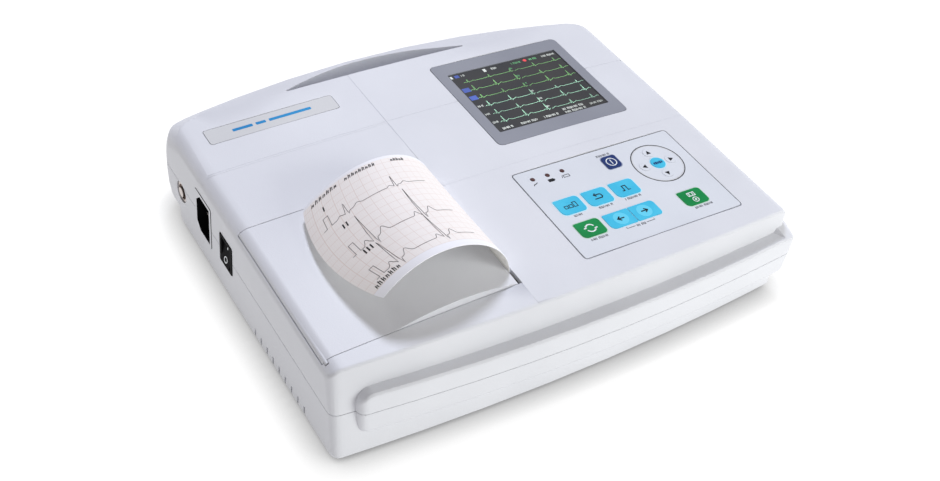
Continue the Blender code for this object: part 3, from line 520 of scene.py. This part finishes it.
for key, ax, ay in WAYS:
    tip = [(ax * 1.9, ay * 1.9), (-ax - ay * 1.6, -ay + ax * 1.6), (-ax + ay * 1.6, -ay - ax * 1.6)]
    symbol(f"mark_{key}", f"{key}_key_body", INK_BLACK, NAV_X + ax * PAD_RING, NAV_Y + ay * PAD_RING,
           dots=[tip], level=FILM_TOP + KEY_RISE / 2)
symbol("mark_menu", "menu_key_body", NAVY, NAV_X, NAV_Y,
       dots=[box_outline(-2.6 + 1.3 * i, 0.0, 1.0, 2.1 if i % 2 else 1.6) for i in range(5)])

symbol("nav_ring", "case", INK_BLACK, NAV_X, NAV_Y,
       [(circle(0, 0, NAV_RING, 72), True)], width=0.55, level=FILM_TOP)
symbol("nav_ring_inner", "case", PLATE, NAV_X, NAV_Y,
       [(circle(0, 0, NAV_RING - 0.7, 72), True)], width=0.5, level=FILM_TOP)
symbol("panel_outline", "case", INK_SOFT, PANEL_X, PANEL_Y,
       [(rounded(0, 0, PANEL_W - 0.3, PANEL_D - 0.3, (1.9,) * 4), True)], width=0.22, level=FILM_TOP)
symbol("lead_bracket", "case", INK_BLACK, 53.7, -84.2,
       [([(-9.5, 1.2), (-9.5, 0), (-4, 0)], False), ([(4, 0), (9.5, 0), (9.5, 1.2)], False)],
       width=0.28, level=FILM_TOP)


def lettering(count, size, pitch, seed):
    """Blocks that read as a word from afar: letter-sized uprights joined here and there."""
    found = []
    for i in range(count):
        x = (i - (count - 1) / 2) * pitch
        kind = (i * 7 + seed * 3) % 5
        found.append(box_outline(x - 0.28 * pitch, 0, 0.22 * pitch, size))
        if kind != 1:
            found.append(box_outline(x + 0.22 * pitch, 0, 0.22 * pitch, size * (0.6 if kind == 2 else 1.0)))
        if kind in (0, 3, 4):
            height = {0: -0.4, 3: 0.4, 4: 0.0}[kind] * size
            found.append(box_outline(x, height, 0.4 * pitch, 0.22 * size))
    return found


# Each caption's name, place and number of letters
CAPTIONS = (("sensitivity", 25.6, -64.6, 4), ("recall", 44.2, -64.6, 6), ("copy", 63.2, -64.6, 7),
            ("lead", 53.7, -84.4, 4), ("mode", 25.6, -83.9, 7), ("print", 97.4, -86.0, 8),
            ("power", 68.6, -28.2, 6))
for i, (name, kx, ky, letters) in enumerate(CAPTIONS):
    symbol(f"caption_{name}", "case", INK_SOFT, kx, ky, dots=lettering(letters, 1.55, 1.6, i),
           level=FILM_TOP)
symbol("icon_mains", "case", INK_BLACK, 17.6, -34.6,
       [([(-1.6, -0.8), (-0.6, 0.2), (0.4, 0.2), (1.6, 1.0)], False)], width=0.45, level=FILM_TOP)
symbol("icon_battery", "case", INK_BLACK, 27.8, -34.9,
       dots=[box_outline(0, 0, 3.8, 2.3), box_outline(2.2, 0, 0.6, 1.2)], level=FILM_TOP)
symbol("icon_charge", "case", INK_BLACK, 38.2, -34.9,
       [(box_outline(0, 0, 3.8, 1.7), True), ([(-3.2, -0.9), (-2.6, 0.9)], False)], width=0.35, level=FILM_TOP)

shape = bmesh.new()
PLATE_TOP = 0.12
for start, length in ((-24, 12), (-10, 6), (-2, 26)):
    add_slab(shape, rounded(start + length / 2, 0.3, length, 2.2, (0.5,) * 4, 3), PLATE_TOP, PLATE_TOP + INK,
             NAMEPLATE)
publish("nameplate_bars", shape, INK_BLUE, "case")


# ---------------------------------------------------------------- screen content

def beat(phase, tall=1.0, p=0.12, t=0.28):
    """One heartbeat; phase runs from 0 to 1."""
    bumps = ((0.18, 0.030, p), (0.275, 0.010, -0.10 * tall), (0.30, 0.012, tall), (0.33, 0.012, -0.22 * tall),
             (0.52, 0.045, t))
    return sum(size * math.exp(-((phase - at) / wide) ** 2 / 2) for at, wide, size in bumps)


SCREEN_LEVEL = -0.34
ROWS, ROW_TOP, ROW_STEP = 6, 20.0, 8.2
COLUMNS = ((-33.5, 2.6), (3.4, 38.6))
BEAT_WIDTH, TRACE_STEPS = 15.5, 180
INK_FLAT = 0.02
# How tall the beats stand in each row's two columns
HEIGHTS = ((2.6, 3.4), (5.4, 3.6), (3.6, 5.2), (4.8, 2.6), (4.2, 5.6), (6.0, 3.8))


def screen_slab(shape, outline):
    add_slab(shape, outline, SCREEN_LEVEL, SCREEN_LEVEL + INK_FLAT, DISPLAY)


def words(shape, x, y, count, size, pitch, seed):
    """Letter-like blocks on the screen, starting at x."""
    for outline in lettering(count, size, pitch, seed):
        screen_slab(shape, [(px + x + count * pitch / 2, py + y) for px, py in outline])


trace, pale, marks, labels, green = [bmesh.new() for _ in range(5)]
for row in range(ROWS):
    y0 = ROW_TOP - row * ROW_STEP
    for column, (x0, x1) in enumerate(COLUMNS):
        tall = HEIGHTS[row][column]
        line = []
        for i in range(TRACE_STEPS + 1):
            x = x0 + (x1 - x0) * i / TRACE_STEPS
            phase = ((x - x0) / BEAT_WIDTH + 0.23 * column + 0.1) % 1.0
            line.append((x, y0 + tall * beat(phase, 1.0, 0.10, 0.17)))
        flat_stroke(trace if row < 3 else pale, line, 0.24, SCREEN_LEVEL, DISPLAY, thick=INK_FLAT)
    words(green if row < 3 else marks, 1.0, y0 + 2.6, 2, 1.5, 1.2, row)
    if row in (1, 2):
        screen_slab(labels, box_outline(-36.0, y0 + 1.2, 5.0, 4.0))
    elif row > 2:
        words(marks, -38.4, y0 + 1.0, 3, 1.7, 1.3, row)
screen_slab(marks, box_outline(-38.2, 27.0, 1.4, 2.4))
screen_slab(labels, box_outline(-34.4, 27.0, 3.0, 2.6))
screen_slab(marks, box_outline(-14.6, 26.6, 1.9, 2.8))
# Place, letters, size, pitch and seed of the words above and below the traces
for x, y, count, size, pitch, seed in (
        (-31.6, 26.8, 2, 1.6, 1.3, 2), (-10.0, 26.6, 3, 1.8, 1.4, 1), (28.0, 26.6, 7, 1.8, 1.4, 4),
        (-36.0, -26.8, 5, 1.8, 1.5, 5), (-23.0, -26.8, 8, 1.8, 1.5, 6), (-6.5, -26.8, 7, 1.8, 1.5, 7),
        (8.5, -24.6, 9, 1.9, 1.7, 8), (8.5, -27.6, 9, 1.9, 1.7, 9), (28.0, -26.0, 7, 1.7, 1.4, 10)):
    words(marks, x, y, count, size, pitch, seed)
for x, count, seed in ((5.0, 5, 2), (18.4, 4, 3)):
    words(green, x, 26.6, count, 1.8, 1.4, seed)
publish("screen_traces", trace, TRACE, "case")
publish("screen_traces_pale", pale, TRACE_PALE, "case")
publish("screen_marks", marks, SCREEN_MARK, "case")
publish("screen_labels", labels, SCREEN_BLUE, "case")
publish("screen_green", green, SCREEN_GREEN, "case")
shape = bmesh.new()
screen_slab(shape, circle(15.4, 26.8, 1.2, 20))
publish("screen_dot", shape, SCREEN_RED, "case")


# ---------------------------------------------------------------- chart paper

def paper_point(along, y):
    """A place on the middle of the sheet: along runs from the platen at 0 to the torn end at 1."""
    share = (y - PAPER_Y0) / (PAPER_Y1 - PAPER_Y0)
    first, second, tip = [Vector(f).lerp(Vector(r), share) for f, r in zip(FRONT_CURL, REAR_CURL)]
    tear = math.sin(math.pi * share) ** 0.8 if 0 < share < 1 else 0.0
    tip -= Vector((TEAR_OUT, TEAR_DOWN)) * tear
    second -= Vector((TEAR_OUT * 0.5, 0.0)) * tear
    t = along
    weights = ((1 - t) ** 3, 3 * t * (1 - t) ** 2, 3 * t * t * (1 - t), t ** 3)
    spot = sum((w * Vector(p) for w, p in zip(weights, (CURL_START, first, second, tip))), Vector((0, 0)))
    return Vector((spot.x, y, spot.y))


def paper_up(along, y):
    step = 1e-3
    a, b = max(along - step, 0.0), min(along + step, 1.0)
    run = paper_point(b, y) - paper_point(a, y)
    low, high = max(y - 0.2, PAPER_Y0), min(y + 0.2, PAPER_Y1)
    across_it = paper_point(along, high) - paper_point(along, low)
    return across_it.cross(run).normalized()


GRID_START, GRID_END = 4.9, 78.1


def paper_material(name, base, fine_line, bold_line):
    """Chart paper: 1 mm squares and bold 5 mm squares from the sheet's own UV, one unit to a millimetre."""
    made = finish(name, [0.97 * c for c in base], base, (0.55, 0.7), patch=45, grain=1800, bump=0.06)
    tree = made.node_tree
    shader = shader_of(made)
    ground = shader.inputs["Base Color"].links[0].from_socket
    where = tree.nodes.new("ShaderNodeUVMap")
    where.uv_map = "sheet"
    split = tree.nodes.new("ShaderNodeSeparateXYZ")
    tree.links.new(where.outputs["UV"], split.inputs["Vector"])

    def math_node(operation, first, second=0.0):
        made_node = tree.nodes.new("ShaderNodeMath")
        made_node.operation = operation
        for socket, value in zip(made_node.inputs, (first, second)):
            if isinstance(value, float):
                socket.default_value = value
            else:
                tree.links.new(value, socket)
        return made_node.outputs[0]

    def lines(step, width):
        found = []
        for axis in ("X", "Y"):
            share = math_node("PINGPONG", split.outputs[axis], step / 2)
            found.append(math_node("LESS_THAN", share, width / 2))
        return math_node("MAXIMUM", found[0], found[1])

    inside = math_node("MULTIPLY", math_node("GREATER_THAN", split.outputs["Y"], GRID_START),
                       math_node("LESS_THAN", split.outputs["Y"], GRID_END))
    colour = ground
    for step, width, tone in ((1.0, 0.16, fine_line), (5.0, 0.30, bold_line)):
        mask = math_node("MULTIPLY", lines(step, width), inside)
        mix = tree.nodes.new("ShaderNodeMix")
        mix.data_type = "RGBA"
        tree.links.new(mask, mix.inputs["Factor"])
        tree.links.new(colour, mix.inputs["A"])
        mix.inputs["B"].default_value = (*tone, 1.0)
        colour = mix.outputs["Result"]
    # The unprinted margin outside the grid is white paper given a cooler, bluish tint: that tint is painted
    # light on the sheet's edge
    margin = tree.nodes.new("ShaderNodeMix")
    margin.data_type = "RGBA"
    tree.links.new(inside, margin.inputs["Factor"])
    margin.inputs["A"].default_value = (0.86, 0.86, 0.90, 1.0)
    tree.links.new(colour, margin.inputs["B"])
    tree.links.new(margin.outputs["Result"], shader.inputs["Base Color"])
    return made


PAPER_FACE = paper_material("chart_paper", (0.90, 0.865, 0.845), (0.85, 0.775, 0.74), (0.77, 0.665, 0.62))
PAPER_BACK = finish("chart_back", (0.84, 0.83, 0.79), (0.88, 0.87, 0.83), (0.6, 0.7), patch=45, bump=0.05)
PAPER_LENGTH = 104.0
RUN_STEPS, BAND_STEPS = 60, 32
PAPER_TAIL = ((50.0, -10.0), (55.0, -5.0))

# A little glow on the back stands for the light that comes through the sheet
back_shader = shader_of(PAPER_BACK)
back_shader.inputs["Emission Color"].default_value = (0.95, 0.93, 0.90, 1.0)
back_shader.inputs["Emission Strength"].default_value = 0.11


def chart_paper():
    """The sheet as a thin closed skin with a UV map for its print grid, down to the platen."""
    shape = bmesh.new()
    layer = shape.loops.layers.uv.new("sheet")
    skins = []
    for side in (1, -1):
        grid = []
        for j in range(BAND_STEPS + 1):
            y = PAPER_Y0 + (PAPER_Y1 - PAPER_Y0) * j / BAND_STEPS
            row = []
            for z, far in PAPER_TAIL:
                row.append((Vector((PAPER_X + side * PAPER_T / 2, y, z)), far))
            for i in range(RUN_STEPS + 1):
                along = i / RUN_STEPS
                spot = paper_point(along, y) + paper_up(along, y) * side * PAPER_T / 2
                row.append((spot, along * PAPER_LENGTH))
            grid.append([(shape.verts.new(p), far, y - PAPER_Y0) for p, far in row])
        skins.append(grid)

    def face(corners, look):
        made = shape.faces.new([c[0] for c in corners])
        made.material_index = look
        for loop, corner in zip(made.loops, corners):
            loop[layer].uv = corner[1:]

    for look, grid in enumerate(skins):
        for near, far in zip(grid, grid[1:]):
            for i in range(len(near) - 1):
                face((near[i], near[i + 1], far[i + 1], far[i]), look)
    top, under = skins
    for i in range(len(top[0]) - 1):
        for row in (0, -1):
            face((top[row][i], top[row][i + 1], under[row][i + 1], under[row][i]), 0)
    for j in range(BAND_STEPS):
        for col in (0, -1):
            face((top[j][col], top[j + 1][col], under[j + 1][col], under[j][col]), 0)
    piece = publish("chart_paper", shape, PAPER_FACE, "door", 60)
    piece.data.materials.append(PAPER_BACK)
    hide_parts("paper_strip")


def print_line(shape, track, width):
    """A printed line through (distance from the torn end, y) places, laid on the paper's face."""
    spots, ups = [], []
    for back, y in track:
        along = min(max(1.0 - back / PAPER_LENGTH, 0.02), 0.995)
        up = paper_up(along, y)
        spots.append(paper_point(along, y) + up * (PAPER_T / 2 + 0.02))
        ups.append(up)
    add_stroke(shape, spots, ups, width, 0.04)


BEAT_LENGTH, BEAT_STEP = 26.5, 0.35
PULSE = ((0.0, 0.0), (1.6, 0.0), (1.61, 7.5), (3.9, 7.5), (3.91, 0.0), (6.0, 0.0))
# Each trace's base line, pulse place, first beat's place, beat height and end
LEAD_LINES = ((-29.5, 5.6, 9.0, 8.0, 64.0), (-55.5, 8.0, 11.0, 22.0, 66.0), (-75.3, 6.2, 10.3, 20.0, 66.0))
# Each printed word's start, place across, number of letters and letter height
PRINTED = ((4.2, -8.2, 7, 2.6), (22.0, -8.2, 9, 2.4), (50.0, -8.2, 5, 2.2), (3.0, -77.6, 7, 2.8))


def lead_line(base_y, pulse, first, tall, end):
    """A calibration pulse, then beats, running from the torn end towards the platen."""
    track = [(pulse + far, base_y + rise) for far, rise in PULSE]
    spot = pulse + 6.3
    while spot < end:
        phase = ((spot - first) / BEAT_LENGTH) % 1.0
        track.append((spot, base_y + tall * beat(phase, 1.0, 0.14, 0.20) + 0.035 * (spot - 12)))
        spot += BEAT_STEP
    return track


chart_paper()
shape = bmesh.new()
for base_y, pulse, first, tall, end in LEAD_LINES:
    print_line(shape, lead_line(base_y, pulse, first, tall, end), 0.27)
publish("chart_traces", shape, CHART_INK, "door")
shape = bmesh.new()
for start, y, letters, tall in PRINTED:
    for i in range(letters):
        at, low = start + 2.0 * i, y - tall / 2
        high = tall * (1.0 if i % 3 else 0.7)
        print_line(shape, [(at, low), (at + 0.4, low + high)], 0.50)
        print_line(shape, [(at + 0.9, low), (at + 1.1, low + high * 0.8)], 0.45)
        print_line(shape, [(at + 0.2, low + high * 0.5 * (i % 2 + 0.7)), (at + 1.2, y + high * 0.1)], 0.30)
for bars, at, y in ((1, 9.0, -16.4), (2, 13.0, -35.7), (3, 12.6, -57.8)):
    for i in range(bars):
        print_line(shape, [(at + 1.7 * i, y - 1.6), (at + 1.7 * i, y + 1.6)], 0.8)
publish("chart_marks", shape, INK_BLACK, "door")


# ---------------------------------------------------------------- rocker marks

SWITCH_Y, SWITCH_Z = 13.7, 31.7
WALL_AT_SWITCH = Matrix(((0, 0, -1, -HALF_WIDTH), (1, 0, 0, SWITCH_Y), (0, 1, 0, SWITCH_Z), (0, 0, 0, 1)))


def rocker_face(low, high):
    """A frame on one face of the rocker, from its ends as heights and distances out of the wall."""
    run = Vector((0.0, high[0] - low[0], high[1] - low[1])).normalized()
    out = Vector((1.0, 0.0, 0.0)).cross(run)
    middle = (0.0, (low[0] + high[0]) / 2, (low[1] + high[1]) / 2)
    rows = [(float(k == 0), run[k], out[k], middle[k]) for k in range(3)]
    return WALL_AT_SWITCH @ Matrix((*rows, (0, 0, 0, 1)))


shape = bmesh.new()
add_slab(shape, box_outline(0.0, 0.6, 0.8, 3.4), 0.01, 0.06, rocker_face((0.0, -0.6), (7.6, -1.6)))
flat_stroke(shape, circle(0.0, -0.4, 1.7, 24), 0.65, 0.01, rocker_face((-7.6, 1.0), (0.0, -0.6)), True)
publish("rocker_marks", shape, INK_WHITE, "rocker")

# ---------------------------------------------------------------- camera, floor and light

camera_data = bpy.data.cameras.new("camera")
camera_data.lens = 45.99
camera_data.sensor_width = 36.0
camera_data.clip_start = 0.01
camera = bpy.data.objects.new("camera", camera_data)
bpy.context.scene.collection.objects.link(camera)
AZIMUTH, ELEVATION, ROLL = (math.radians(a) for a in (-38.18, 42.9, -9.28))
flat = math.cos(ELEVATION)
back = Vector((math.sin(AZIMUTH) * flat, -math.cos(AZIMUTH) * flat, math.sin(ELEVATION)))
level = Vector((math.cos(AZIMUTH), math.sin(AZIMUTH), 0.0))
upright = back.cross(level)
right = math.cos(ROLL) * level - math.sin(ROLL) * upright
up = math.sin(ROLL) * level + math.cos(ROLL) * upright
AIM, AIM_RIGHT, AIM_UP, DISTANCE = Vector((0.0, -29.0, 40.0)), 15.905, 13.556, 669.92
place = (AIM - AIM_RIGHT * right - AIM_UP * up + DISTANCE * back) * MM
camera.matrix_world = Matrix(((right.x, up.x, back.x, place.x), (right.y, up.y, back.y, place.y),
                              (right.z, up.z, back.z, place.z), (0, 0, 0, 1)))
bpy.context.scene.camera = camera

FLOOR_HALF = 6000
OCCLUSION_REACH = 0.018


def floor_material():
    """A white sweep that glows to full white, with a painted contact shadow that darkens its glow softly only
    close to what stands on it.
    """
    made = finish("floor_white", (0.10, 0.10, 0.10), (0.11, 0.11, 0.11), (0.85, 0.95), bump=0.0, shine=0.0)
    tree = made.node_tree
    # Occlusion turns the glow down near the machine: this is the painted shadow on the floor
    near = tree.nodes.new("ShaderNodeAmbientOcclusion")
    near.samples = 12
    near.inputs["Distance"].default_value = OCCLUSION_REACH
    ramp = tree.nodes.new("ShaderNodeValToRGB")
    ramp.color_ramp.elements[0].position = 0.0
    ramp.color_ramp.elements[0].color = (0.05, 0.05, 0.055, 1.0)
    ramp.color_ramp.elements[1].position = 0.97
    ramp.color_ramp.elements[1].color = (1.0, 1.0, 1.0, 1.0)
    tree.links.new(near.outputs["AO"], ramp.inputs["Fac"])
    shader = shader_of(made)
    tree.links.new(ramp.outputs["Color"], shader.inputs["Emission Color"])
    shader.inputs["Emission Strength"].default_value = 0.98
    return made


shape = bmesh.new()
bmesh.ops.create_grid(shape, x_segments=1, y_segments=1, size=FLOOR_HALF)
floor = publish("floor", shape, floor_material(), None)

world = bpy.data.worlds.new("studio")
world.use_nodes = True
world.node_tree.nodes["Background"].inputs["Color"].default_value = (1.0, 0.96, 0.96, 1.0)
world.node_tree.nodes["Background"].inputs["Strength"].default_value = 0.39
bpy.context.scene.world = world


LIT_SPOT = (0.0, 0.0, 0.04)


def lamp(name, spot, size, power, colour):
    """A round area lamp at a spot in metres, facing the machine."""
    data = bpy.data.lights.new(name, "AREA")
    data.shape = "DISK"
    data.size = size
    data.energy = power
    data.color = colour
    obj = bpy.data.objects.new(name, data)
    obj.location = spot
    obj.rotation_euler = (Vector(LIT_SPOT) - Vector(spot)).to_track_quat("-Z", "Y").to_euler()
    bpy.context.scene.collection.objects.link(obj)


lamp("key_light", (0.50, 1.25, 2.00), 0.55, 37.0, (0.83, 0.87, 1.0))
lamp("front_fill", (0.85, -1.25, 0.55), 1.0, 16.5, (0.98, 1.0, 0.96))
bpy.context.scene.view_settings.view_transform = "Standard"
